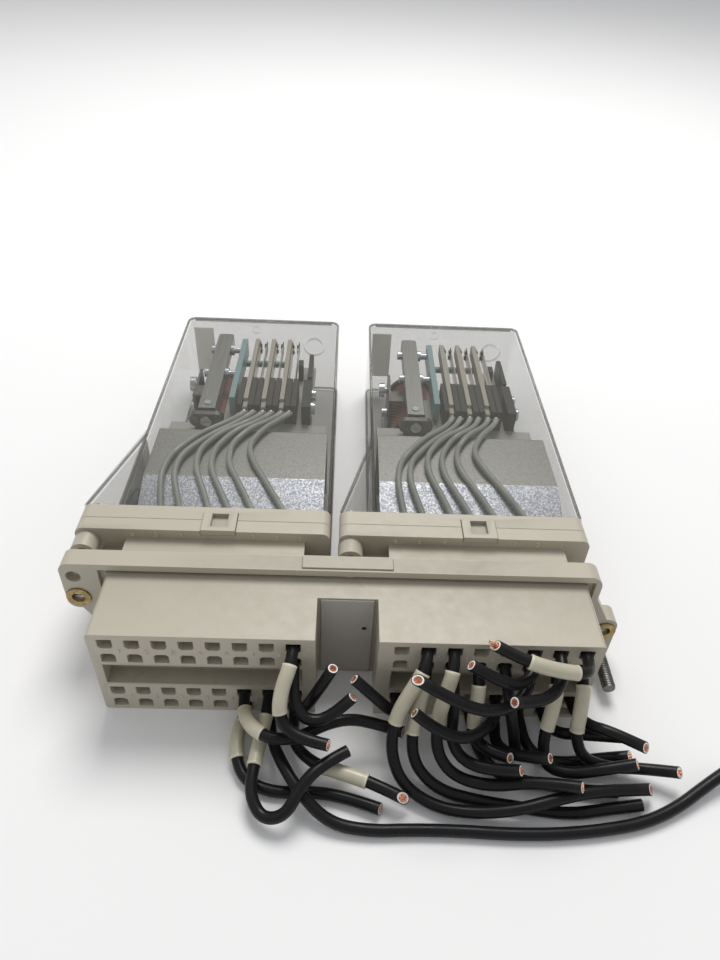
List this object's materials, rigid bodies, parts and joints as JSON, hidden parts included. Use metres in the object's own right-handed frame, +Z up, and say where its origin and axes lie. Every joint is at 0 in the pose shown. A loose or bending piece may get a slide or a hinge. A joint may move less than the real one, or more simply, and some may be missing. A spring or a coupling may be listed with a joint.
{
  "type": "control relay module",
  "caption": "Plug-in control relays with clear covers on a shared rack terminal base, with cut black field leads and marker sleeves.",
  "frame": {"origin": "middle of the footprint of the base and relays, on the surface it lies on", "axes": "+Y from the wiring side towards the covers' far ends, +Z up, +X to the right seen from the wiring side"},
  "size_m": [0.2117, 0.2349, 0.0432],
  "materials": {
    "beige_moulding": "matt moulded thermoset, slightly soiled",
    "clear_plastic": "clear smoked moulding",
    "cream_plastic": "aged cream plastic",
    "brass": "turned brass",
    "zinc_steel": "zinc plated",
    "dark_steel": "dark oiled steel",
    "galvanised_sheet": "spangled zinc coat",
    "winding_tape": "varnished red tape",
    "black_plastic": "black moulded phenolic",
    "grey_plastic": "grey moulded plastic",
    "contact_silver": "tinned and silver faced",
    "blue_plastic": "pale blue moulding",
    "brushed_iron": "milled and plated iron",
    "grey_wire": "grey green insulation",
    "black_sheath": "black rubbery sheath with white inner layer and copper strands"
  },
  "bodies": {
    "base": {"terminal_base_housing": "beige_moulding", "threaded_inserts": "brass", "insert_screws": "zinc_steel", "marker_strip": "cream_plastic", "crimp_contacts": "contact_silver", "marker_sleeves": "cream_plastic", "leads_left_long": "black_sheath", "leads_left_lower": "black_sheath", "leads_left_upper": "black_sheath", "leads_right_inner": "black_sheath", "leads_right_outer": "black_sheath", "leads_right_sleeved": "black_sheath", "leads_right_upper": "black_sheath"},
    "long_screw": {"long_fixing_screw": "dark_steel"},
    "left_relay": {"left_relay_base": "beige_moulding", "left_plug_blades": "contact_silver", "left_magnet_box": "galvanised_sheet", "left_coil_windings": "winding_tape", "left_coil_bobbins": "black_plastic", "left_coil_iron": "dark_steel", "left_insulating_plate": "black_plastic", "left_contact_frame": "grey_plastic", "left_separator_strips": "cream_plastic", "left_insulator_blocks": "black_plastic", "left_fixed_contacts": "contact_silver", "left_end_pad": "dark_steel", "left_frame_screws": "zinc_steel", "left_inner_wires": "grey_wire"},
    "left_cover": {"left_cover_frame": "beige_moulding", "left_clear_cover": "clear_plastic", "left_label_plate": "cream_plastic"},
    "left_latch": {"left_latch_tab": "beige_moulding"},
    "left_screw": {"left_fixing_screw": "zinc_steel"},
    "left_armature": {"left_armature_bar": "brushed_iron", "left_adjusting_screws": "zinc_steel"},
    "left_pusher": {"left_push_strip": "blue_plastic", "left_moving_springs": "contact_silver"},
    "right_relay": {"right_relay_base": "beige_moulding", "right_plug_blades": "contact_silver", "right_magnet_box": "galvanised_sheet", "right_coil_windings": "winding_tape", "right_coil_bobbins": "black_plastic", "right_coil_iron": "dark_steel", "right_insulating_plate": "black_plastic", "right_contact_frame": "grey_plastic", "right_separator_strips": "cream_plastic", "right_insulator_blocks": "black_plastic", "right_fixed_contacts": "contact_silver", "right_end_pad": "dark_steel", "right_frame_screws": "zinc_steel", "right_inner_wires": "grey_wire"},
    "right_cover": {"right_cover_frame": "beige_moulding", "right_clear_cover": "clear_plastic", "right_label_plate": "cream_plastic"},
    "right_latch": {"right_latch_tab": "beige_moulding"},
    "right_screw": {"right_fixing_screw": "zinc_steel"},
    "right_armature": {"right_armature_bar": "brushed_iron", "right_adjusting_screws": "zinc_steel"},
    "right_pusher": {"right_push_strip": "blue_plastic", "right_moving_springs": "contact_silver"}
  },
  "joints": [
    {"name": "long_screw_turn", "type": "hinge", "parent": "base", "child": "long_screw", "pos_m": [0.0886, -0.0688, 0.0057], "axis": [0, 1, 0], "continuous": true},
    {"name": "left_relay_unplug", "type": "slide", "parent": "base", "child": "left_relay", "axis": [0, 1, 0], "range_m": [0, 0.03]},
    {"name": "left_cover_off", "type": "slide", "parent": "left_relay", "child": "left_cover", "axis": [0, 1, 0], "range_m": [0, 0.14]},
    {"name": "left_latch_flex", "type": "hinge", "parent": "left_cover", "child": "left_latch", "pos_m": [-0.04445, -0.0464, 0.0393], "axis": [-1, 0, 0], "range_deg": [0, 6], "stiffness_Nm_per_rad": 0.05},
    {"name": "left_fixing_screw_turn", "type": "hinge", "parent": "left_relay", "child": "left_screw", "pos_m": [-0.08855, -0.0518, 0.0357], "axis": [0, 1, 0], "continuous": true},
    {"name": "left_armature_swing", "type": "hinge", "parent": "left_relay", "child": "left_armature", "pos_m": [-0.06125, 0.0277, 0.034], "axis": [0, 0, -1], "range_deg": [0, 1.3], "stiffness_Nm_per_rad": 0.5},
    {"name": "left_contact_push", "type": "slide", "parent": "left_relay", "child": "left_pusher", "axis": [1, 0, 0], "range_m": [0, 0.0011]},
    {"name": "right_relay_unplug", "type": "slide", "parent": "base", "child": "right_relay", "axis": [0, 1, 0], "range_m": [0, 0.03]},
    {"name": "right_cover_off", "type": "slide", "parent": "right_relay", "child": "right_cover", "axis": [0, 1, 0], "range_m": [0, 0.14]},
    {"name": "right_latch_flex", "type": "hinge", "parent": "right_cover", "child": "right_latch", "pos_m": [0.04445, -0.0464, 0.0393], "axis": [-1, 0, 0], "range_deg": [0, 6], "stiffness_Nm_per_rad": 0.05},
    {"name": "right_fixing_screw_turn", "type": "hinge", "parent": "right_relay", "child": "right_screw", "pos_m": [0.00035, -0.0518, 0.0357], "axis": [0, 1, 0], "continuous": true},
    {"name": "right_armature_swing", "type": "hinge", "parent": "right_relay", "child": "right_armature", "pos_m": [0.02765, 0.0277, 0.034], "axis": [0, 0, -1], "range_deg": [0, 1.3], "stiffness_Nm_per_rad": 0.5},
    {"name": "right_contact_push", "type": "slide", "parent": "right_relay", "child": "right_pusher", "axis": [1, 0, 0], "range_m": [0, 0.0011]}
  ],
  "couplings": [
    {"joint": "left_contact_push", "follows": "left_armature_swing", "m_per_rad": 0.0455},
    {"joint": "right_contact_push", "follows": "right_armature_swing", "m_per_rad": 0.0455}
  ]
}
